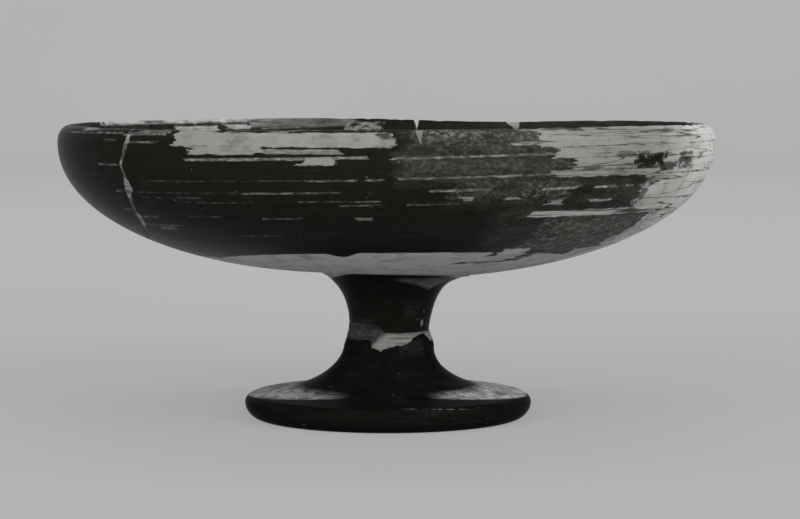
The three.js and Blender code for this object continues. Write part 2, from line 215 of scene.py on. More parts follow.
class CupSizes(bpy.types.PropertyGroup):
    """Sizes of the cup that its maker and its mender chose."""

    bowl_depth: FloatProperty(
        name="Bowl depth", description="Shoulder down to the lowest point of the underside",
        default=46 * MM, min=0.02, unit="LENGTH")
    fullness: FloatProperty(
        name="Fullness", description="Power of the bowl's section, where 2 is an ellipse",
        default=2.1, min=1.5)
    wall: FloatProperty(
        name="Wall", description="Thickness of the wall at the shoulder", default=5.5 * MM, unit="LENGTH")
    floor: FloatProperty(
        name="Floor", description="Thickness of the floor over the stem", default=7 * MM, unit="LENGTH")
    lip_height: FloatProperty(
        name="Lip height", description="Shoulder up to the crest of the lip", default=5.5 * MM, unit="LENGTH")
    lip_inset: FloatProperty(
        name="Lip inset", description="Outer face in to the crest of the lip",
        default=4.2 * MM, unit="LENGTH")
    waist_radius: FloatProperty(
        name="Waist radius", description="Radius of the stem's waist", default=13.5 * MM, unit="LENGTH")
    waist_height: FloatProperty(
        name="Waist height", description="Height of the stem's waist", default=29.6 * MM, unit="LENGTH")
    shank_radius: FloatProperty(
        name="Shank radius", description="Radius of the stem below its break",
        default=15.2 * MM, unit="LENGTH")
    shank_drop: FloatProperty(
        name="Shank drop", description="Waist down to the top of the shank", default=5.1 * MM, unit="LENGTH")
    collar_radius: FloatProperty(
        name="Collar radius", description="Radius of the stem's spread under the bowl",
        default=26.5 * MM, unit="LENGTH")
    foot_edge_height: FloatProperty(
        name="Foot edge height", description="Height of the foot's widest line",
        default=5.5 * MM, unit="LENGTH")
    foot_top_height: FloatProperty(
        name="Foot top height", description="Height where the foot's top turns into its edge",
        default=8.2 * MM, unit="LENGTH")
    standing_ring: FloatProperty(
        name="Standing ring", description="Width of the ring that the foot stands on",
        default=10 * MM, unit="LENGTH")
    gloss_coat: FloatProperty(
        name="Gloss coat", description="Thickness that a flake takes off", default=0.07 * MM, unit="LENGTH")


class CupFinish(bpy.types.PropertyGroup):
    """Colours of the cup and of the stage."""

    gloss: FloatVectorProperty(
        name="Gloss", description="Sound black gloss", subtype="COLOR", min=0, max=1,
        default=(0.0098, 0.01, 0.0078))
    thin_gloss: FloatVectorProperty(
        name="Thin gloss", description="Black gloss rubbed thin", subtype="COLOR", min=0, max=1,
        default=(0.11, 0.112, 0.1))
    clay: FloatVectorProperty(
        name="Clay", description="Bare fired clay", subtype="COLOR", min=0, max=1,
        default=(0.275, 0.277, 0.262))
    # Pale clay also paints light: it lifts the bare clay of the bowl's right limb and of the foot's top.
    pale_clay: FloatVectorProperty(
        name="Pale clay", description="Clay that has bleached or never had gloss",
        subtype="COLOR", min=0, max=1,
        default=(0.74, 0.744, 0.72))
    clay_shade: FloatVectorProperty(
        name="Clay shade", description="Turning lines and stains in the clay", subtype="COLOR", min=0, max=1,
        default=(0.085, 0.086, 0.077))
    plaster: FloatVectorProperty(
        name="Plaster", description="Plaster of the fills", subtype="COLOR", min=0, max=1,
        default=(0.33, 0.331, 0.315))
    plaster_shade: FloatVectorProperty(
        name="Plaster shade", description="Dirt in the plaster", subtype="COLOR", min=0, max=1,
        default=(0.08, 0.08, 0.076))
    floor: FloatVectorProperty(
        name="Floor", description="Floor and backdrop", subtype="COLOR", min=0, max=1,
        default=(0.48, 0.487, 0.48))


def sizes():
    return bpy.context.scene.cup_sizes


def finish():
    return bpy.context.scene.cup_finish


# Sections of the cup, as arrays of radius and height from the axis outwards.

def shoulder():
    return CREST - sizes().lip_height


def outside_radius(height):
    """Radius of the bowl's outer face at a height."""
    down = np.clip((shoulder() - height) / sizes().bowl_depth, 0, 1)
    return BOWL_RADIUS * (1 - down ** sizes().fullness) ** (1 / sizes().fullness)


def underside_height(radius):
    """Height of the bowl's outer face at a radius."""
    across = (radius / BOWL_RADIUS) ** sizes().fullness
    return shoulder() - sizes().bowl_depth * (1 - across) ** (1 / sizes().fullness)


def belly(radius, depth, last_radius, steps):
    """Section of a bowl from its shoulder down to a radius."""
    power = 2 / sizes().fullness
    turn = np.linspace(0, math.acos((last_radius / radius) ** (1 / power)), steps)
    across = radius * np.abs(np.cos(turn)) ** power
    across[-1] = last_radius
    return np.stack([across, shoulder() - depth * np.sin(turn) ** power], -1)


def quarter_round(side, level, steps):
    """Quarter of an ellipse that leaves one point upright and reaches the other level."""
    turn = np.linspace(0, math.pi / 2, steps)
    radius = level[0] + (side[0] - level[0]) * np.cos(turn)
    height = side[1] + (level[1] - side[1]) * np.sin(turn)
    return np.stack([radius, height], -1)


def bezier(start, start_handle, end_handle, end, steps):
    t = np.linspace(0, 1, steps)[:, None]
    a, b, c, d = (np.array(point) for point in (start, start_handle, end_handle, end))
    return (1 - t) ** 3 * a + 3 * (1 - t) ** 2 * t * b + 3 * (1 - t) * t ** 2 * c + t ** 3 * d


def joined(*stretches):
    """One section from several, without the repeated end points."""
    return np.concatenate([stretches[0], *[stretch[1:] for stretch in stretches[1:]]])


def lip_round(radius, inset, steps):
    """Section of one side of the lip, from the shoulder up to the crest."""
    crest = (BOWL_RADIUS - sizes().lip_inset, CREST - inset)
    return quarter_round((radius, shoulder()), crest, steps)


def outside_section(inset=0.0):
    radius = BOWL_RADIUS - inset
    flat = np.linspace((0, SEAT + inset), (SLIP_RADIUS, SEAT + inset), 6)
    side = belly(radius, sizes().bowl_depth - inset, SLIP_RADIUS, steps=70)[::-1]
    return joined(flat, side, lip_round(radius, inset, steps=14))


def inside_section(inset=0.0):
    radius = BOWL_RADIUS - sizes().wall + inset
    depth = shoulder() - SEAT - sizes().floor + inset
    return joined(lip_round(radius, inset, steps=9)[::-1], belly(radius, depth, 0, steps=60))


# Meshes

def new_object(name, data):
    piece = bpy.data.objects.new(name, data)
    bpy.context.scene.collection.objects.link(piece)
    return piece


def new_mesh(name, points, faces):
    mesh = bpy.data.meshes.new(name)
    mesh.from_pydata(points, [], faces)
    return mesh


def ring(radius, height, steps=STEM_STEPS):
    """A ring whose radius and height may change round the turn."""
    return np.stack([np.broadcast_to(radius, steps), np.broadcast_to(height, steps)], -1)


def bands(rows):
    """Faces between rows of points. Points that come twice in a face count once."""
    faces = []
    for low, high in zip(rows, rows[1:]):
        for j in range(len(low)):
            k = (j + 1) % len(low)
            faces.append(tuple(dict.fromkeys((low[j], low[k], high[k], high[j]))))
    return faces


def skin(name, rings, closed=False):
    """A mesh over rings of (radius, height) points. A ring with no radius becomes one point."""
    steps = len(rings[0])
    turn = np.linspace(0, 2 * math.pi, steps, endpoint=False)
    points = []
    rows = []
    for radius, height in (circle.T for circle in rings):
        start = len(points)
        if np.any(radius):
            points.extend(np.stack([radius * np.sin(turn), -radius * np.cos(turn), height], -1).tolist())
            rows.append(range(start, start + steps))
        else:
            points.append((0, 0, height[0]))
            rows.append([start] * steps)
    return new_mesh(name, points, bands(rows + rows[:1] if closed else rows))


def prism(name, outlines):
    """A closed mesh over a row of outlines that have the same number of corners."""
    points = [corner for outline in outlines for corner in outline]
    count = len(outlines[0])
    rows = [range(start, start + count) for start in range(0, len(points), count)]
    return new_mesh(name, points, [tuple(reversed(rows[0])), *bands(rows), tuple(rows[-1])])


def carve(base, tool, operation):
    """The mesh of base, cut by or shared with tool."""
    first = new_object("carve_base", base)
    second = new_object("carve_tool", tool)
    modifier = first.modifiers.new("carve", "BOOLEAN")
    modifier.object = second
    modifier.operation = operation
    modifier.solver = "MANIFOLD"
    graph = bpy.context.evaluated_depsgraph_get()
    result = bpy.data.meshes.new_from_object(first.evaluated_get(graph), depsgraph=graph)
    for spent in (first, second):
        mesh = spent.data
        bpy.data.objects.remove(spent)
        bpy.data.meshes.remove(mesh)
    return result


def separate_bodies(mesh):
    """The loose bodies of a mesh, the largest first."""
    whole = new_object("whole", mesh)
    bpy.ops.object.select_all(action="DESELECT")
    bpy.context.view_layer.objects.active = whole
    whole.select_set(True)
    bpy.ops.mesh.separate(type="LOOSE")
    bodies = []
    for loose in list(bpy.context.selected_objects):
        bodies.append(loose.data)
        bpy.data.objects.remove(loose)
    return sorted(bodies, key=lambda body: len(body.vertices), reverse=True)


def coordinates(mesh):
    flat = np.empty(len(mesh.vertices) * 3)
    mesh.vertices.foreach_get("co", flat)
    return flat.reshape(-1, 3)


def set_coordinates(mesh, points):
    mesh.vertices.foreach_set("co", points.ravel())
    mesh.update()


# The wall break and the chips

def jagged(path, steps, wander, seed):
    """A path with small random steps between its points."""
    random = np.random.default_rng(seed)
    fine = []
    for start, end in zip(path, path[1:]):
        for share in np.arange(steps) / steps:
            point = np.array(start) + (np.array(end) - np.array(start)) * share
            fine.append(point + random.normal(0, wander) * (share > 0))
    fine.append(np.array(path[-1], float))
    return fine


def outward_at(turn):
    """The level way out from the axis at a turn from the front."""
    return Vector((math.sin(math.radians(turn)), -math.cos(math.radians(turn)), 0))


def wall_spot(turn, height):
    """A point of the bowl's outer face, and the way that the face looks there."""
    radius = float(outside_radius(height))
    down = max(0.0, (shoulder() - height) / sizes().bowl_depth)
    outward = (radius / BOWL_RADIUS) ** (sizes().fullness - 1) / BOWL_RADIUS
    downward = down ** (sizes().fullness - 1) / sizes().bowl_depth
    way = outward_at(turn)
    return way * radius + UP * height, (way * outward - UP * downward).normalized()


def break_ribbon(gap):
    """A ribbon that stands through the wall along the break, widened by a gap on each side."""
    outer, inner, least_width = 3 * MM, -10 * MM, 0.4
    turn_wander, drop_wander, width_wander = 0.12, 0.05, 0.1
    path = jagged(WALL_BREAK, steps=4, wander=(turn_wander, drop_wander, width_wander), seed=4)
    spots = [wall_spot(turn, CREST - drop * MM) for turn, drop, _ in path]
    outlines = []
    for i, (spot, away) in enumerate(spots):
        ahead = spots[min(i + 1, len(spots) - 1)][0] - spots[max(i - 1, 0)][0]
        side = away.cross(ahead).normalized()
        half = max(least_width, path[i][2]) * MM / 2 + gap
        corners = ((half, outer), (-half, outer), (-half, inner), (half, inner))
        outlines.append([spot + side * across + away * out for across, out in corners])
    return prism("break_ribbon", outlines)


def chip_wedge(chip, gap):
    """A wedge through the lip for a chip, drawn in by a gap on its two sides."""
    turn, width, depth, tip = chip
    top, inner, outer = 3, BOWL_RADIUS - sizes().wall - 6 * MM, BOWL_RADIUS + 4 * MM
    half = width / 2
    wander = width * 0.02
    draw = 1 - 2 * gap / (width * MM)
    path = jagged(((-half, 0), (tip, -depth), (half, 0)), steps=5, wander=(wander, wander), seed=4)
    outline = [(x * draw, y * draw) for x, y in path] + [(half * draw, top), (-half * draw, top)]
    outward = outward_at(turn)
    along = UP.cross(outward)
    return prism("chip_wedge", [
        [outward * radius + along * (x * MM) + UP * (CREST + y * MM) for x, y in outline]
        for radius in (inner, outer)])


def settle(points):
    """Height that the underside gains round the stem: most in front, some at the left."""
    reach, start, top, fade = 45 * MM, 5 * MM, 80 * MM, 18 * MM
    all_round, to_right, to_front = -0.1 * MM, -1.1 * MM, 2.2 * MM
    x, y, z = points.T
    radius = np.hypot(x, y) + 1e-9
    near = np.exp(-(radius / reach) ** 2) * np.clip((radius - SLIP_RADIUS) / start, 0, 1)
    low = np.clip((top - z) / fade, 0, 1)
    return near * low * (all_round + (to_right * x - to_front * y) / radius)


def waves(turn, table):
    """Sum of a table's waves at a turn."""
    return sum(size * np.cos(count * turn + phase) for count, size, phase in table)


def dip(turn, middle, breadth):
    """1 at a turn and falling away over a breadth, both in radians."""
    away = np.angle(np.exp(1j * (turn - middle)))
    return np.exp(-(away / breadth) ** 2)


def warp_bowl(mesh):
    """Gives the bowl the slight wander of a thrown pot and nibbles its lip."""
    lean, nibbles, nibble_height = 0.3 * MM, 70, 1.6 * MM
    nibble_degrees, nibble_depths = (0.5, 1.6), (0.05, 0.3)
    points = coordinates(mesh)
    points[:, 2] += settle(points)
    radius = np.hypot(points[:, 0], points[:, 1])
    turn = np.arctan2(points[:, 0], -points[:, 1])
    spread = (radius / BOWL_RADIUS) ** 2
    points[:, :2] *= (1 + spread * waves(turn, BOWL_OVALS))[:, None]
    points[:, 0] -= lean * spread
    points[:, 2] += spread * MM * waves(turn, RIM_WAVES)
    for middle, rise, breadth in RIM_SWAYS:
        points[:, 2] += rise * MM * spread ** 2 * dip(turn, math.radians(middle), math.radians(breadth))
    random = np.random.default_rng(21)
    near_crest = np.exp(-((points[:, 2] - CREST) / nibble_height) ** 2)
    for _ in range(nibbles):
        middle = random.uniform(-math.pi, math.pi)
        breadth = math.radians(random.uniform(*nibble_degrees))
        depth = random.uniform(*nibble_depths) * MM
        points[:, 2] -= depth * near_crest * dip(turn, middle, breadth)
    set_coordinates(mesh, points)


def sway_stem(mesh):
    """Bends the stem as it was mended, and keeps its collar under the bowl."""
    collar_start, collar_fade = 38 * MM, 8 * MM
    points = coordinates(mesh)
    heights, shifts = np.array(STEM_SWAY).T * MM
    points[:, 0] += np.interp(points[:, 2], heights, shifts)
    radius = np.hypot(points[:, 0], points[:, 1])
    collar = np.clip((points[:, 2] - collar_start) / collar_fade, 0, 1)
    points[:, 2] += settle(points) * collar
    ceiling = np.where(radius > SLIP_RADIUS, underside_height(radius) + settle(points), CREST)
    points[:, 2] = np.minimum(points[:, 2], ceiling - STEM_JOIN)
    set_coordinates(mesh, points)


def wall_sides(mesh):
    """The side that each face of a wall piece is on: 0 outside, 1 inside and 2 broken."""
    batch, off_face = 4000, 0.15 * MM
    outside = outside_section()
    section = joined(outside, inside_section())
    starts = section[:-1]
    runs = section[1:] - starts
    centres = np.empty(len(mesh.polygons) * 3)
    mesh.polygons.foreach_get("center", centres)
    x, y, z = centres.reshape(-1, 3).T
    spots = np.stack([np.hypot(x, y), z], -1)
    sides = np.zeros(len(spots), np.int32)
    for low in range(0, len(spots), batch):
        part = spots[low:low + batch, None]
        share = ((part - starts) * runs).sum(-1) / (runs ** 2).sum(-1)
        gap = np.linalg.norm(part - starts - np.clip(share, 0, 1)[..., None] * runs, axis=-1)
        side = np.where(gap.argmin(1) < len(outside) - 1, 0, 1)
        sides[low:low + batch] = np.where(gap.min(1) > off_face, 2, side)
    return sides


def thrown_bowl(inset=0.0):
    """The whole bowl, with its faces drawn into the wall by an inset."""
    section = joined(outside_section(inset), inside_section(inset))
    return skin("bowl", [ring(*point, BOWL_STEPS) for point in section])


def broken_bowl():
    """The bowl and the sherd, in that order."""
    mesh = carve(thrown_bowl(), break_ribbon(WALL_JOIN), "DIFFERENCE")
    for chip in (FRONT_CHIP, BACK_CHIP, BACK_NOTCH):
        mesh = carve(mesh, chip_wedge(chip, 0), "DIFFERENCE")
    return separate_bodies(mesh)


# Stem and foot

def stem_break(lower):
    """Height of the upper or lower face of the stem break round the stem."""
    roughness = 0.132 if lower else 0.06
    fewest, most, step, falling = 6, 60, 4, 0.7
    across = (sizes().waist_radius + sizes().shank_radius) / 2 * np.sin(STEM_TURN) / MM
    drop = np.interp(across, *np.array(BREAK_LOWER if lower else BREAK_UPPER).T)
    random = np.random.default_rng(31 + lower)
    for count in range(fewest, most, step):
        size = roughness / (count / fewest) ** falling
        drop += size * np.sin(count * STEM_TURN + random.uniform(0, WHOLE_TURN))
    return sizes().waist_height - drop * MM


def stem_curves():
    """Sections of the flare below the break and of the neck above it."""
    flare_inset, flare_rise, collar_gap = 11 * MM, 0.9 * MM, 0.25 * MM
    flare_reach, flare_lift, shank_reach = 9 * MM, 1.2 * MM, 9 * MM
    waist_reach, collar_reach = 7 * MM, 10 * MM
    s = sizes()
    shank_height = s.waist_height - s.shank_drop
    flare_radius = FOOT_RADIUS - flare_inset
    flare_height = s.foot_top_height + flare_rise
    collar_height = float(underside_height(s.collar_radius)) - collar_gap
    flare = bezier(
        (flare_radius, flare_height), (flare_radius - flare_reach, flare_height + flare_lift),
        (s.shank_radius, shank_height - shank_reach), (s.shank_radius, shank_height), steps=60)
    neck = bezier(
        (s.waist_radius, s.waist_height), (s.waist_radius, s.waist_height + waist_reach),
        (s.collar_radius - collar_reach, collar_height), (s.collar_radius, collar_height), steps=50)
    return flare, neck


def stem_radius(height):
    both = np.concatenate(stem_curves())
    return np.interp(height, both[:, 1], both[:, 0])


def stem_rings(low, high, shares):
    """Rings of the stem's face at shares of the way between two heights."""
    heights = [low + (high - low) * share for share in shares]
    return [ring(stem_radius(height), height) for height in heights]


def hollow_radius(height):
    low = sizes().waist_height - HOLLOW_DROP
    return HOLLOW_RADIUS - HOLLOW_TAPER * (height - low) / (HOLLOW_DROP + HOLLOW_RISE)


def upper_stem_rings():
    above_break, least_step, collar_gap, slip_overlap = 4.2 * MM, 0.2 * MM, 0.02 * MM, 0.3 * MM
    low = stem_break(lower=False) + STEM_JOIN
    tip = sizes().waist_height + HOLLOW_RISE
    first = sizes().waist_height + above_break
    rings = [ring(0, tip), ring(hollow_radius(tip), tip), ring(hollow_radius(low), low)]
    rings += stem_rings(low, first, np.linspace(0, 1, 11))
    rings += [ring(*point) for point in stem_curves()[1] if point[1] > first + least_step]
    for radius in np.linspace(sizes().collar_radius, SLIP_RADIUS, 5):
        rings.append(ring(radius, underside_height(radius) - collar_gap))
    return rings + [ring(SLIP_RADIUS + slip_overlap, SLIP_LOW.z), ring(0, SLIP_LOW.z)]


def stem_fill_rings():
    core_drop, core_rise = 9.6 * MM, 5.6 * MM
    low = stem_break(lower=True) + STEM_JOIN
    high = stem_break(lower=False) - STEM_JOIN
    bottom = sizes().waist_height - core_drop
    top = sizes().waist_height + core_rise
    core = [ring(hollow_radius(height) - CORE_GAP, height) for height in (bottom, low, high, top)]
    proud, set_back, tool_depth, groove_depth, line_depth = 0.05, 0.35, 0.02, 0.09, 0.05
    twist, groove_rate, line_rate = 9, 5.2, 11.3
    phase = np.random.default_rng(5).uniform(0, WHOLE_TURN, 12)
    waver = 0.6 * np.sin(3 * STEM_TURN + 1)
    face = []
    for share in np.linspace(0, 1, 40):
        height = low + (high - low) * share
        tool = tool_depth * sum(np.sin(k * STEM_TURN + phase[k] + share * twist * k) for k in range(1, 6))
        groove = groove_depth * np.sin(height / MM * groove_rate + waver)
        line = line_depth * np.sin(height / MM * line_rate)
        edge = proud - set_back * (2 * abs(share - 0.5)) ** 6
        face.append(ring(stem_radius(height) + (tool + groove + line + edge) * MM, height))
    return [ring(0, bottom), *core[:2], *face, *core[2:], ring(0, top)]


def foot_rings():
    """Rings from the hollow over the standing ring to the break, and how many of them lie underneath."""
    edge_inset, top_inset, last = 5.3 * MM, 4 * MM, 17 * MM
    throat_reach, throat_drop, roof_reach, roof_rise = 1 * MM, 11.5 * MM, 9 * MM, 6 * MM
    s = sizes()
    high = stem_break(lower=True) - STEM_JOIN
    ring_outer = FOOT_RADIUS - edge_inset
    ring_inner = ring_outer - s.standing_ring
    throat = s.waist_height - HOLLOW_DROP
    roof = bezier(
        (HOLLOW_RADIUS, throat), (HOLLOW_RADIUS + throat_reach, throat - throat_drop),
        (ring_inner - roof_reach, roof_rise), (ring_inner, 0), steps=30)
    standing = np.linspace((ring_inner, 0), (ring_outer, 0), 5)[1:-1]
    edge = (FOOT_RADIUS, s.foot_edge_height)
    edge_top = (FOOT_RADIUS - top_inset, s.foot_top_height)
    flare = stem_curves()[0]
    outside = joined(
        quarter_round(edge, (ring_outer, 0), steps=14)[::-1], quarter_round(edge, edge_top, steps=12),
        np.linspace(edge_top, flare[0], 6), flare)
    under = [ring(hollow_radius(high), high), *[ring(*point) for point in (*roof, *standing)]]
    over = [ring(*point) for point in outside if point[1] < last]
    return under + over + stem_rings(last, high, np.linspace(0, 1, 30)), len(under)


# Shader fields and node groups

class Field:
    """A value that changes over a surface. Sums and products of fields become Math nodes."""

    def __init__(self, socket):
        self.socket = socket
        self.tree = socket.id_data

    def math(self, operation, *others, clamp=False):
        node = self.tree.nodes.new("ShaderNodeMath")
        node.operation = operation
        node.use_clamp = clamp
        for socket, value in zip(node.inputs, (self, *others)):
            feed(socket, value)
        return Field(node.outputs[0])

    def __add__(self, other):
        return self.math("ADD", other)

    def __sub__(self, other):
        return self.math("SUBTRACT", other)

    def __mul__(self, other):
        return self.math("MULTIPLY", other)

    def __truediv__(self, other):
        return self.math("DIVIDE", other)

    def __abs__(self):
        return self.math("ABSOLUTE")

    def less_from(self, whole):
        return (self * -1.0) + whole

    def least(self, other):
        return self.math("MINIMUM", other)

    def most(self, other):
        return self.math("MAXIMUM", other)

    def held(self, share=1.0):
        """A share of the field, held between 0 and 1."""
        return self.math("MULTIPLY", share, clamp=True)

    def rise(self, low, high):
        """0 below low, 1 above high, and smooth between."""
        node = self.tree.nodes.new("ShaderNodeMapRange")
        node.interpolation_type = "SMOOTHSTEP"
        for name, value in (("Value", self), ("From Min", low), ("From Max", high)):
            feed(node.inputs[name], value)
        return Field(node.outputs["Result"])


def most_of(*fields):
    return functools.reduce(Field.most, fields)


def feed(socket, value):
    """Links a field to a socket, or sets the socket to a plain value or colour."""
    if isinstance(value, Field):
        value.tree.links.new(value.socket, socket)
    elif socket.type == "RGBA":
        socket.default_value = (*value, 1)
    else:
        socket.default_value = value


def noise(point, scale=1.0, detail=2.0, roughness=0.5, offset=0.0):
    """Soft noise from 0 to 1 round a half."""
    node = point.tree.nodes.new("ShaderNodeTexNoise")
    node.noise_dimensions = "4D"
    settings = {"Vector": point, "W": offset, "Scale": scale, "Detail": detail, "Roughness": roughness}
    for name, value in settings.items():
        feed(node.inputs[name], value)
    return Field(node.outputs["Fac"])


def grain(point, length, thickness, **settings):
    """Noise drawn out along the turning lines, with its length and thickness in millimetres."""
    node = point.tree.nodes.new("ShaderNodeVectorMath")
    node.operation = "DIVIDE"
    feed(node.inputs[0], point)
    feed(node.inputs[1], (length, length, thickness))
    return noise(Field(node.outputs[0]), **settings)


def blend(factor, first, second):
    """A colour between two."""
    node = factor.tree.nodes.new("ShaderNodeMix")
    node.data_type = "RGBA"
    feed(node.inputs[0], factor)
    colours = [socket for socket in node.inputs if socket.type == "RGBA"]
    for socket, colour in zip(colours, (first, second)):
        feed(socket, colour)
    return Field([socket for socket in node.outputs if socket.type == "RGBA"][0])


VALUE = "NodeSocketFloat"
COLOUR = "NodeSocketColor"
VECTOR = "NodeSocketVector"


def label(name):
    return name.replace("_", " ").capitalize()


def fields_of(node):
    """A node's outputs as fields under their names."""
    outputs = [socket for socket in node.outputs if socket.name]
    return SimpleNamespace(**{socket.name.replace(" ", "_").lower(): Field(socket) for socket in outputs})


def new_group(name, inputs, outputs):
    """An empty node group, with its inputs as fields and its output node."""
    tree = bpy.data.node_groups.new(name, "ShaderNodeTree")
    for way, sockets in (("INPUT", inputs), ("OUTPUT", outputs)):
        for socket_name, kind in sockets.items():
            tree.interface.new_socket(label(socket_name), in_out=way, socket_type=kind)
    given = fields_of(tree.nodes.new("NodeGroupInput"))
    return tree, given, tree.nodes.new("NodeGroupOutput")


def give(sink, **results):
    for name, field in results.items():
        feed(sink.inputs[label(name)], field)


def place(tree, build, **values):
    """A node group in a tree, built the first time it is placed, with its outputs as fields."""
    name = label(build.__name__)
    node = tree.nodes.new("ShaderNodeGroup")
    node.node_tree = bpy.data.node_groups.get(name) or build(name)
    give(node, **values)
    return fields_of(node)


def turned_surface(name):
    """Where a point of a turned pot lies, in millimetres and in degrees from the front, how far the ends
    and the long edges of a flake wander there in millimetres, and where a thin flake breaks up."""
    coarse_wander, fine_wander, edge_wander = 16.0, 4.0, 1.9
    measures = ("turn", "height", "across", "ends", "edges", "breaks")
    tree, _, sink = new_group(name, {}, {"point": VECTOR, **dict.fromkeys(measures, VALUE)})
    coordinate = tree.nodes.new("ShaderNodeTexCoord")
    scale = tree.nodes.new("ShaderNodeVectorMath")
    scale.operation = "SCALE"
    feed(scale.inputs[0], Field(coordinate.outputs["Object"]))
    feed(scale.inputs["Scale"], 1 / MM)
    point = Field(scale.outputs[0])
    split = tree.nodes.new("ShaderNodeSeparateXYZ")
    feed(split.inputs[0], point)
    x, y, z = (Field(socket) for socket in split.outputs)
    turn = x.math("ARCTAN2", y * -1.0) * math.degrees(1)
    coarse = grain(point, 11, 2.1, detail=3, roughness=0.6) - 0.5
    fine = grain(point, 1.6, 0.8, detail=4, roughness=0.65, offset=7.0) - 0.5
    edges = grain(point, 5, 1.8, detail=5, roughness=0.66, offset=3.0) - 0.5
    breaks = grain(point, 2.4, 0.8, detail=3, roughness=0.6, offset=10.0).rise(0.42, 0.62)
    give(
        sink, point=point, turn=turn, height=z, across=x, breaks=breaks, edges=edges * edge_wander,
        ends=coarse * coarse_wander + fine * fine_wander)
    return tree


def flake(name):
    """One flaked stretch: how bare the clay is, with ragged ends along the turning lines."""
    measures = (
        "turn", "height", "across", "ends", "edges", "breaks", "middle_turn", "middle_height", "half_turn",
        "half_height", "tilt", "ragged", "broken", "softness", "bareness")
    tree, given, sink = new_group(name, dict.fromkeys(measures, VALUE), {"bare": VALUE})
    degree = math.radians(1) * BOWL_RADIUS / MM
    inside_ends = (given.half_turn - abs(given.turn - given.middle_turn)) * degree + given.ends
    level = given.height - given.across * given.tilt
    inside_edges = given.half_height - abs(level - given.middle_height) + given.edges * given.ragged
    depth = inside_ends.least(inside_edges) / given.softness
    whole = (given.breaks - 1.0) * given.broken + 1.0
    bare = depth.math("ADD", 0.5, clamp=True) * whole
    give(sink, bare=bare.held(given.bareness))
    return tree


def fired_clay(name):
    """Fired clay with hair-fine turning lines, stains and grit."""
    tree, given, sink = new_group(
        name, {"point": VECTOR, "clay": COLOUR, "shade": COLOUR, "lines": VALUE},
        {"colour": COLOUR, "relief": VALUE})
    point = given.point
    hairs = []
    for length, thickness, offset in ((110, 3.2, 0.0), (60, 4.2, 2.0), (75, 1.9, 4.0)):
        waver = grain(point, length, thickness, roughness=0.4, offset=offset)
        hairs.append(abs(waver - 0.49).rise(0.013, 0.004))
    fade = grain(point, 28, 1.5, offset=11.0).rise(0.34, 0.54)
    broad = grain(point, 60, 1.9, detail=3, roughness=0.6, offset=3.0).rise(0.5, 0.75)
    stain = grain(point, 7, 4, detail=5, roughness=0.66, offset=5.0).rise(0.46, 0.76)
    grit = noise(point, scale=1.3, detail=4, roughness=0.75, offset=1.0) - 0.5
    speck = noise(point, scale=0.9, detail=1, offset=9.0).rise(0.72, 0.76)
    lines = most_of(*hairs) * fade * given.lines
    dark = lines + broad * given.lines * 0.2 + stain * 0.65 + grit * 0.7 + speck * 0.5
    colour = blend(dark.held(), given.clay, given.shade)
    give(sink, colour=colour, relief=grit * 0.06 - lines * 0.06 + (broad - 0.5) * 0.03)
    return tree


def black_gloss(name):
    """Black gloss with wheel streaks, rubbed spots and fine scratches."""
    tree, given, sink = new_group(
        name, {"point": VECTOR, "gloss": COLOUR, "thin_gloss": COLOUR, "thinness": VALUE},
        {"colour": COLOUR, "roughness": VALUE, "relief": VALUE})
    point = given.point
    streak = grain(point, 38, 0.8, detail=3, roughness=0.6).rise(0.55, 0.85)
    blotch = grain(point, 9, 2.6, detail=5, roughness=0.68, offset=4.0)
    mottle = grain(point, 2.4, 0.9, detail=4, roughness=0.7, offset=6.0)
    speck = noise(point, scale=0.8, detail=1, offset=12.0).rise(0.755, 0.78)
    runs = grain(point, 1.5, 9, detail=3, roughness=0.6, offset=15.0).rise(0.42, 0.7)
    ridges = grain(point, 120, 2.6, offset=8.0) - 0.5
    rubbed = blotch.rise(0.34, 0.7) * 0.4 + mottle.rise(0.46, 0.72) * 0.6 + runs * 0.12 + 0.1
    thin = given.thinness * rubbed + streak * 0.14 + speck * 0.8 + blotch.rise(0.55, 0.8) * 0.05
    thin = thin.held()
    give(
        sink, colour=blend(thin, given.gloss, given.thin_gloss),
        roughness=thin * 0.4 + 0.28 + (mottle - 0.5) * 0.16,
        relief=ridges * 0.1 + (mottle - 0.5) * 0.02 - speck * 0.03)
    return tree


def old_plaster(name):
    """Old plaster, smeared along the turning lines, dirty in its hollows and toned dark in places."""
    tree, given, sink = new_group(
        name, {"point": VECTOR, "plaster": COLOUR, "shade": COLOUR, "tone": COLOUR, "toned": VALUE},
        {"colour": COLOUR, "relief": VALUE})
    point = given.point
    smear = grain(point, 14, 0.6, detail=4, roughness=0.65)
    lump = noise(point, scale=0.7, detail=5, roughness=0.65, offset=3.0) - 0.5
    pit = noise(point, scale=2.2, detail=2, offset=8.0).rise(0.66, 0.74)
    dark = smear.rise(0.4, 0.68) * 0.7 + lump * 0.8 + pit * 0.5
    dab = grain(point, 1.8, 1.1, detail=4, roughness=0.65, offset=5.0) - 0.5
    brush = dab * given.toned.rise(0.0, 0.4) * 0.7 + given.toned
    untoned = blend(dark.held(), given.plaster, given.shade)
    colour = blend(brush.held(0.97), untoned, given.tone)
    give(sink, colour=colour, relief=lump * 0.3 + (smear - 0.5) * 0.2 - pit * 0.12)
    return tree


# Materials. Their places are in degrees from the front and in millimetres above the table.

def new_material(name):
    """A material with its shader and the fields of a turned surface."""
    made = bpy.data.materials.new(name)
    made.use_nodes = True
    return made, made.node_tree.nodes["Principled BSDF"], place(made.node_tree, turned_surface)


def dress(shader, colour, roughness, relief, shine):
    """Feeds the shader. Relief is in millimetres."""
    bump = shader.id_data.nodes.new("ShaderNodeBump")
    feed(bump.inputs["Distance"], MM)
    feed(bump.inputs["Height"], relief)
    feed(shader.inputs["Base Color"], colour)
    feed(shader.inputs["Roughness"], roughness)
    feed(shader.inputs["Specular IOR Level"], shine)
    feed(shader.inputs["Normal"], Field(bump.outputs["Normal"]))


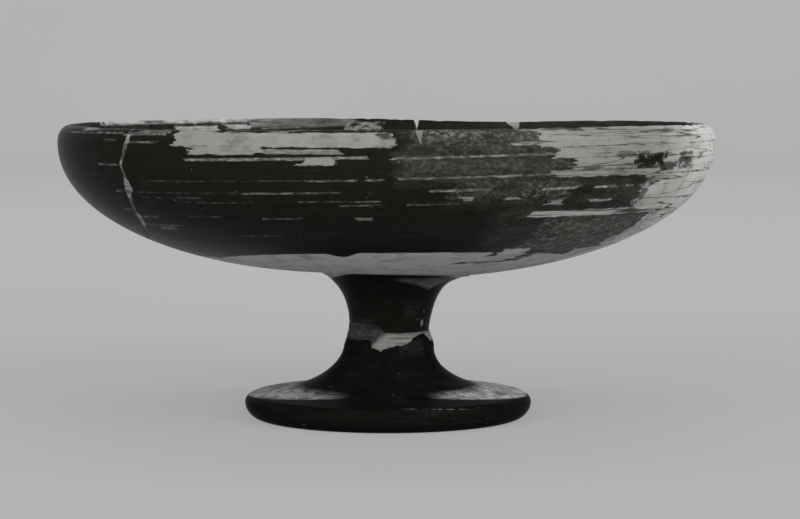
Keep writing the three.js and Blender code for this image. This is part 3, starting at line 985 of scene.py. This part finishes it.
def flaked(at, flakes, softness):
    """How bare the clay is, from a list of flakes. Thin ones follow the turning lines and break up."""
    patches = []
    for from_turn, to_turn, bottom, top, bareness in flakes:
        half = (top - bottom) / 2
        middle = (from_turn + to_turn) / 2
        tilt = LINE_TILT if half < THIN else 0.0
        middle_across = math.sin(math.radians(middle)) * BOWL_RADIUS / MM
        patch = place(
            at.turn.tree, flake, turn=at.turn, height=at.height, across=at.across, ends=at.ends,
            edges=at.edges, breaks=at.breaks, middle_turn=middle, half_turn=(to_turn - from_turn) / 2,
            middle_height=(bottom + top) / 2 - tilt * middle_across, half_height=half, tilt=tilt,
            ragged=min(1.0, half), broken=min(0.9, max(0.0, 1.1 - half)), softness=softness,
            bareness=bareness)
        patches.append(patch.bare)
    return most_of(*patches)


def gloss_on_clay(name, bare_of, thin_of, pale_of, lines_of=None, tone=1.0, shine=0.012):
    """Black gloss that has gone from some of the clay. A lower tone makes the gloss blacker.

    The makers give how bare and how thin the gloss is, and how pale and how lined the clay is.
    """
    made, shader, at = new_material(name)
    f = finish()
    bare = bare_of(at)
    gloss = place(
        made.node_tree, black_gloss, point=at.point, gloss=[value * tone for value in f.gloss],
        thin_gloss=f.thin_gloss, thinness=thin_of(at))
    clay = place(
        made.node_tree, fired_clay, point=at.point, clay=blend(pale_of(at), f.clay, f.pale_clay),
        shade=f.clay_shade, lines=lines_of(at) if lines_of else 0.3)
    coat = bare.less_from(1.0) * (sizes().gloss_coat / MM)
    dress(
        shader, blend(bare, gloss.colour, clay.colour), gloss.roughness + bare * 0.4,
        gloss.relief + clay.relief * bare + coat, shine)
    return made


def bowl_outside(name):
    """Gloss that flaked along the turning lines, over clay left bare round the stem."""
    edge_turn, edge_height, edge_bend, edge_lowest = 5.0, 60.8, -0.0013, 56.6
    drip_turn, drip_width, drip_length = -10.2, 4.4, 1.4
    right_limb = 88.0

    def bare_of(at):
        away = at.turn - edge_turn
        drip = abs(at.turn - drip_turn).rise(drip_width, 0.0) * drip_length
        gloss_edge = (away * away * edge_bend + edge_height).most(edge_lowest) - drip + at.edges * 0.4
        reserved = (gloss_edge - at.height).rise(-0.15, 0.15)
        worn = grain(at.point, 9, 1.2, detail=3, roughness=0.6, offset=14.0)
        lip = (worn + (at.height - CREST / MM) * 0.12).rise(0.5, 0.6) * 0.8
        speckle = grain(at.point, 1.7, 1.1, detail=5, roughness=0.72, offset=23.0).rise(0.46, 0.64)
        speckled = flaked(at, BOWL_SPECKLED, softness=3.0) * speckle
        patchy = grain(at.point, 3.6, 2.2, detail=4, roughness=0.65, offset=16.0).rise(0.36, 0.5)
        kept = flaked(at, BOWL_REMNANTS, softness=0.5) * patchy.most(at.height.rise(70.0, 66.0))
        flakes = flaked(at, BOWL_FLAKES, softness=0.35)
        return most_of(flakes, reserved, lip, speckled) * kept.less_from(1.0)

    def thin_of(at):
        lower_right = at.turn.rise(28.0, 44.0) * at.height.rise(73.0, 70.0)
        return flaked(at, BOWL_THIN, softness=9.0) * (lower_right * 0.5 + 1.0) + 0.06

    def lines_of(at):
        fading = at.turn.rise(60.0, 82.0) * -0.6 + 1.0
        return flaked(at, BOWL_LINED, softness=5.0) * fading + 0.15

    def pale_of(at):
        underside = at.height.rise(64.0, 62.0) * 0.5
        # Toward the right the bare clay, which is real flaking, is made paler: painted light from the right,
        # strongest at the right limb, where it takes away the limb's shading.
        right = abs(at.turn - right_limb).rise(42.0, 16.0) * 0.92
        lower_right = at.turn.rise(18.0, 27.0) * at.height.rise(84.0, 82.0) * 0.5
        return most_of(underside, right, lower_right)

    return gloss_on_clay(name, bare_of, thin_of, pale_of, lines_of)


def bowl_inside(name):
    """Gloss that is worn, smeared and crumbled below the far lip."""
    def bare_of(at):
        wear = grain(at.point, 30, 1.6, detail=4, roughness=0.6, offset=17.0).rise(0.68, 0.72) * 0.6
        crumb = grain(at.point, 4, 1.5, detail=5, roughness=0.72, offset=22.0).rise(0.4, 0.56)
        smear = grain(at.point, 9, 1.4, detail=4, roughness=0.65, offset=24.0).rise(0.25, 0.6)
        crumbled = flaked(at, INSIDE_CRUMBS, softness=0.6) * crumb
        smeared = flaked(at, INSIDE_SMEARS, softness=0.9) * smear
        return most_of(smeared, flaked(at, INSIDE_FLAKES, softness=0.6), crumbled, wear)

    def thin_of(at):
        return at.across.rise(10.0, 60.0) * 0.35 + at.across.rise(-15.0, -45.0) * 0.3 + 0.08

    def pale_of(at):
        return at.across.rise(-38.0, -52.0) * 0.6

    return gloss_on_clay(name, bare_of, thin_of, pale_of)


def stem_thinness(at):
    return flaked(at, STEM_THIN, softness=2.5) + 0.06


def stem_gloss(name):
    """Black gloss with a scar under the bowl and a collar that the gloss stops short of."""
    collar_height, collar_fall, collar_lowest = 51.55, -0.06, 46.4
    left_height, left_slope, right_height, right_slope = 48.1, -0.0865, 36.5, 0.156

    def collar_of(at):
        edge = (abs(at.turn) * collar_fall + collar_height).most(collar_lowest)
        return (at.height - edge + at.edges * 0.2).rise(-0.25, 0.4)

    def bare_of(at):
        scar_edge = (at.turn * left_slope + left_height).most(at.turn * right_slope + right_height)
        above = at.height - scar_edge
        inside = above.rise(-0.3, 1.0) * at.height.rise(49.0, 47.4) * at.turn.rise(0.0, 16.0)
        tip = at.turn.rise(34.0, 46.0) * above.rise(1.8, 0.4)
        scar = inside * (tip * 0.3 + at.edges * 0.1 + 0.4)
        return most_of(flaked(at, STEM_FLAKES, softness=0.5), scar, collar_of(at))

    def pale_of(at):
        return collar_of(at) * 0.46

    return gloss_on_clay(name, bare_of, stem_thinness, pale_of, tone=0.8)


def foot_gloss(name):
    """Black gloss rubbed off the top of the foot at both sides, whose pale clay also paints a reflection of
    the bright surroundings and is lighter at the right, with a painted highlight near its edge drawn as a
    scratched line.
    """
    front_height, front_fall, front_lowest = 10.57, -0.036, 7.5
    # Middle turn, height and bend of the painted highlight along the top of the foot's edge, drawn as a
    # scratched line.
    scratch_highlight_turn, scratch_highlight_height, scratch_highlight_bend = 23.0, 8.12, -0.00077

    def bare_of(at):
        turn = abs(at.turn)
        dust = grain(at.point, 3.2, 1.6, detail=5, roughness=0.68, offset=19.0).rise(0.28, 0.6)
        front_edge = (turn * front_fall + front_height).most(front_lowest)
        top = (at.height - front_edge).rise(-0.12, 0.18) * at.height.rise(11.4, 9.4)
        # Bare pale clay at both sides of the top: partly rubbed wear and dust, partly a painted reflection of
        # the bright surroundings seen at a grazing angle.
        rubbed = top * turn.rise(22.0, 46.0) * dust
        # A pale line along the top of the foot's edge: a painted highlight where light catches the edge,
        # drawn as a scratched line and brightest to the right.
        scratch_highlight = abs(at.height - (at.turn * at.turn * scratch_highlight_bend + scratch_highlight_height)).rise(0.14, 0.04)
        scratch_highlight = scratch_highlight * abs(at.turn - scratch_highlight_turn).rise(20.0, 8.0)
        return rubbed.most(scratch_highlight * at.breaks * 0.3)

    def pale_of(at):
        # The clay of the top is made pale enough to paint that reflection, and paler to the right as painted
        # light from the right.
        return at.across.rise(-20.0, 30.0) * 0.4 + 0.52

    return gloss_on_clay(name, bare_of, stem_thinness, pale_of, tone=0.45, shine=0.002)


def bare_clay(name, lines):
    made, shader, at = new_material(name)
    f = finish()
    clay = place(
        made.node_tree, fired_clay, point=at.point, clay=f.clay, shade=f.clay_shade, lines=lines)
    roughness = noise(at.point, scale=0.8, detail=3, offset=2.0) * 0.2 + 0.7
    dress(shader, clay.colour, roughness, clay.relief, shine=0.2)
    return made


def broken_clay(name):
    return bare_clay(name, lines=0.1)


def reserved_clay(name):
    return bare_clay(name, lines=0.6)


def toned_plaster(name, toned_of):
    """Plaster that the mender toned dark where the maker of the field says so."""
    made, shader, at = new_material(name)
    f = finish()
    fill = place(
        made.node_tree, old_plaster, point=at.point, plaster=f.plaster, shade=f.plaster_shade,
        tone=f.gloss, toned=toned_of(at))
    roughness = noise(at.point, scale=0.9, detail=3, offset=2.0) * 0.2 + 0.75
    dress(shader, fill.colour, roughness, fill.relief, shine=0.2)
    return made


def wall_plaster(name):
    """Plaster toned between its pale beads, over the lip and all along the far wall."""
    def toned_of(at):
        beads = [abs(at.height - middle).rise(half, half * 0.4) for middle, half in WALL_BEADS]
        lip = at.height.rise(96.8, 97.6)
        far = at.turn.rise(-78.0, -90.0)
        return most_of(most_of(*beads).less_from(1.0) * 0.74, lip, far)

    return toned_plaster(name, toned_of)


def stem_plaster(name):
    """Plaster toned at the left: grey high up, black lower down, and fading to the right."""
    slope, middle, softness = 1.1, -0.6, 1.8

    def toned_of(at):
        height = at.height - sizes().waist_height / MM
        fade = (at.across - height * slope - middle).rise(softness, -softness)
        upper_edge = height.rise(0.5, 1.3) * at.across.rise(-8.5, -5.5)
        return fade * (height.rise(-1.2, -3.0).most(upper_edge) * 0.12 + 0.87)

    return toned_plaster(name, toned_of)


def lip_plaster(name):
    """Plaster toned a little in the near lip and not in the far lip."""
    def toned_of(at):
        return abs(at.turn).rise(90.0, 60.0) * 0.4

    return toned_plaster(name, toned_of)


def material(build):
    """A material, built the first time it is asked for."""
    name = build.__name__.replace("_", " ")
    return bpy.data.materials.get(name) or build(name)


# Pieces

def seat_piece(mesh, node, materials, sides=None, sharp=WALL_SHARP):
    """Gives a mesh its materials, by the side of each face, and puts it in the place of its solid."""
    mesh.materials.clear()
    for build in materials:
        mesh.materials.append(material(build))
    if sides is not None:
        mesh.polygons.foreach_set("material_index", sides)
    mesh.shade_smooth()
    mesh.set_sharp_from_angle(angle=math.radians(sharp))
    piece = new_object(f"{node}_look", mesh)
    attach(piece, "root")
    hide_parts(node)


def seat_wall(mesh, node):
    sides = wall_sides(mesh)
    warp_bowl(mesh)
    seat_piece(mesh, node, (bowl_outside, bowl_inside, broken_clay), sides)


def seat_wall_fill(tool, node, plaster):
    sunk = 0.1 * MM
    mesh = carve(thrown_bowl(sunk), tool, "INTERSECT")
    warp_bowl(mesh)
    seat_piece(mesh, node, (plaster,))


def seat_stem(mesh, node, materials, sides=None):
    sway_stem(mesh)
    seat_piece(mesh, node, materials, sides, STEM_SHARP)


class CUP_OT_bowl(bpy.types.Operator):
    """The thrown bowl, with the sherd's place and the lip's chips cut from it"""

    bl_idname = "cup.bowl"
    bl_label = "Bowl"

    def execute(self, context):
        seat_wall(broken_bowl()[0], "bowl")
        return {"FINISHED"}


class CUP_OT_sherd(bpy.types.Operator):
    """The sherd of wall and lip that is joined back at the left"""

    bl_idname = "cup.sherd"
    bl_label = "Left rim sherd"

    def execute(self, context):
        seat_wall(broken_bowl()[1], "left_rim_sherd")
        return {"FINISHED"}


class CUP_OT_wall_fills(bpy.types.Operator):
    """The plaster along the wall break and in the two chips of the lip"""

    bl_idname = "cup.wall_fills"
    bl_label = "Wall and lip fills"

    def execute(self, context):
        seat_wall_fill(break_ribbon(0), "left_break_fill", wall_plaster)
        seat_wall_fill(chip_wedge(FRONT_CHIP, WALL_JOIN), "front_rim_fill", lip_plaster)
        seat_wall_fill(chip_wedge(BACK_CHIP, WALL_JOIN), "back_rim_fill", lip_plaster)
        return {"FINISHED"}


class CUP_OT_stem(bpy.types.Operator):
    """The upper stem with its collar, and the bed of slip above it"""

    bl_idname = "cup.stem"
    bl_label = "Upper stem"

    def execute(self, context):
        mesh = skin("upper_stem", upper_stem_rings())
        seat_stem(mesh, "upper_stem", (stem_gloss,))
        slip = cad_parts["luting_slip"]
        slip.data.materials.clear()
        slip.data.materials.append(material(reserved_clay))
        return {"FINISHED"}


class CUP_OT_stem_fill(bpy.types.Operator):
    """The plaster in the stem break, tooled round the stem"""

    bl_idname = "cup.stem_fill"
    bl_label = "Stem break fill"

    def execute(self, context):
        mesh = skin("stem_break_fill", stem_fill_rings())
        seat_stem(mesh, "stem_break_fill", (stem_plaster,))
        return {"FINISHED"}


class CUP_OT_foot(bpy.types.Operator):
    """The lower stem and the disc foot, with the hollow cone under it"""

    bl_idname = "cup.foot"
    bl_label = "Foot"

    def execute(self, context):
        rings, under = foot_rings()
        mesh = skin("foot", rings, closed=True)
        sides = np.zeros(len(mesh.polygons), np.int32)
        sides[:under * STEM_STEPS] = 1
        seat_stem(mesh, "foot", (foot_gloss, reserved_clay), sides)
        return {"FINISHED"}


class CUP_OT_stage(bpy.types.Operator):
    """The floor and backdrop, the lamps and the camera"""

    bl_idname = "cup.stage"
    bl_label = "Stage"

    def execute(self, context):
        self.sweep()
        self.light(context.scene)
        self.camera(context.scene)
        return {"FINISHED"}

    def sweep(self):
        """One sheet that lies as the floor and rises as the backdrop."""
        front, back, bend, top, half_width = -4.0, 2.4, 0.8, 5.0, 5.0
        curve = quarter_round((back + bend, bend), (back, 0), steps=24)[::-1]
        profile = [(front, 0.0), *curve, (back + bend, top)]
        points = [(x, y, z) for y, z in profile for x in (-half_width, half_width)]
        faces = [(i, i + 1, i + 3, i + 2) for i in range(0, len(points) - 2, 2)]
        mesh = new_mesh("sweep", points, faces)
        mesh.shade_smooth()
        mesh.materials.append(self.paper())
        new_object("sweep", mesh)

    def paper(self):
        """Paper that keeps some of its brightness in its own shade."""
        paper = bpy.data.materials.new("backdrop paper")
        paper.use_nodes = True
        nodes = paper.node_tree.nodes
        shader = nodes["Principled BSDF"]
        tone = noise(Field(nodes.new("ShaderNodeTexCoord").outputs["Object"]), scale=2.0, detail=3)
        light, dark = ([value * share for value in finish().floor] for share in (1.03, 0.97))
        colour = blend(tone, light, dark)
        rays = nodes.new("ShaderNodeLightPath").outputs
        seen = most_of(*[Field(rays[f"Is {kind} Ray"]) for kind in ("Camera", "Glossy", "Transmission")])
        even = seen * EVEN_BACKDROP
        black = (0, 0, 0)
        for name, value in (
            ("Base Color", blend(even, colour, black)), ("Emission Color", blend(even, black, colour)),
            ("Emission Strength", 1.0), ("Roughness", 1.0), ("Specular IOR Level", 0.0),
        ):
            feed(shader.inputs[name], value)
        return paper

    def light(self, scene):
        scene.world = bpy.data.worlds.new("studio")
        scene.world.use_nodes = True
        sky = scene.world.node_tree.nodes["Background"]
        feed(sky.inputs["Color"], (1, 1, 1))
        feed(sky.inputs["Strength"], SKY_STRENGTH)
        for name, spot, aim, size, power in LAMPS:
            lamp = bpy.data.lights.new(name, "AREA")
            lamp.size = size
            lamp.energy = power
            item = new_object(name, lamp)
            item.location = spot
            item.rotation_euler = (Vector(aim) - Vector(spot)).to_track_quat("-Z", "Y").to_euler()

    def camera(self, scene):
        lens = bpy.data.cameras.new("camera")
        lens.sensor_fit = "HORIZONTAL"
        lens.sensor_width = CAMERA_SENSOR
        lens.lens = CAMERA_LENS
        item = new_object("camera", lens)
        item.location = CAMERA_PLACE
        item.rotation_euler = Euler((math.pi / 2 + CAMERA_PITCH, 0, 0))
        scene.camera = item
        scene.view_settings.view_transform = "Standard"


OPERATORS = (
    CUP_OT_stage, CUP_OT_bowl, CUP_OT_sherd, CUP_OT_wall_fills, CUP_OT_stem, CUP_OT_stem_fill, CUP_OT_foot,
)


class CUP_PT_panel(bpy.types.Panel):
    """The cup's pieces, sizes and colours"""

    bl_idname = "CUP_PT_panel"
    bl_label = "Mended stemmed cup"
    bl_space_type = "VIEW_3D"
    bl_region_type = "UI"
    bl_category = "Cup"

    def draw(self, context):
        for operator in OPERATORS:
            self.layout.operator(operator.bl_idname)
        for group in (context.scene.cup_sizes, context.scene.cup_finish):
            column = self.layout.column()
            for name in group.__annotations__:
                column.prop(group, name)


CLASSES = (CupSizes, CupFinish, *OPERATORS, CUP_PT_panel)


def register():
    for item in CLASSES:
        bpy.utils.register_class(item)
    bpy.types.Scene.cup_sizes = PointerProperty(type=CupSizes)
    bpy.types.Scene.cup_finish = PointerProperty(type=CupFinish)


def unregister():
    del bpy.types.Scene.cup_finish
    del bpy.types.Scene.cup_sizes
    for item in reversed(CLASSES):
        bpy.utils.unregister_class(item)


def main():
    register()
    bpy.ops.cup.stage()
    bpy.ops.cup.bowl()
    bpy.ops.cup.sherd()
    bpy.ops.cup.wall_fills()
    bpy.ops.cup.stem()
    bpy.ops.cup.stem_fill()
    bpy.ops.cup.foot()


if __name__ == "__main__":
    main()
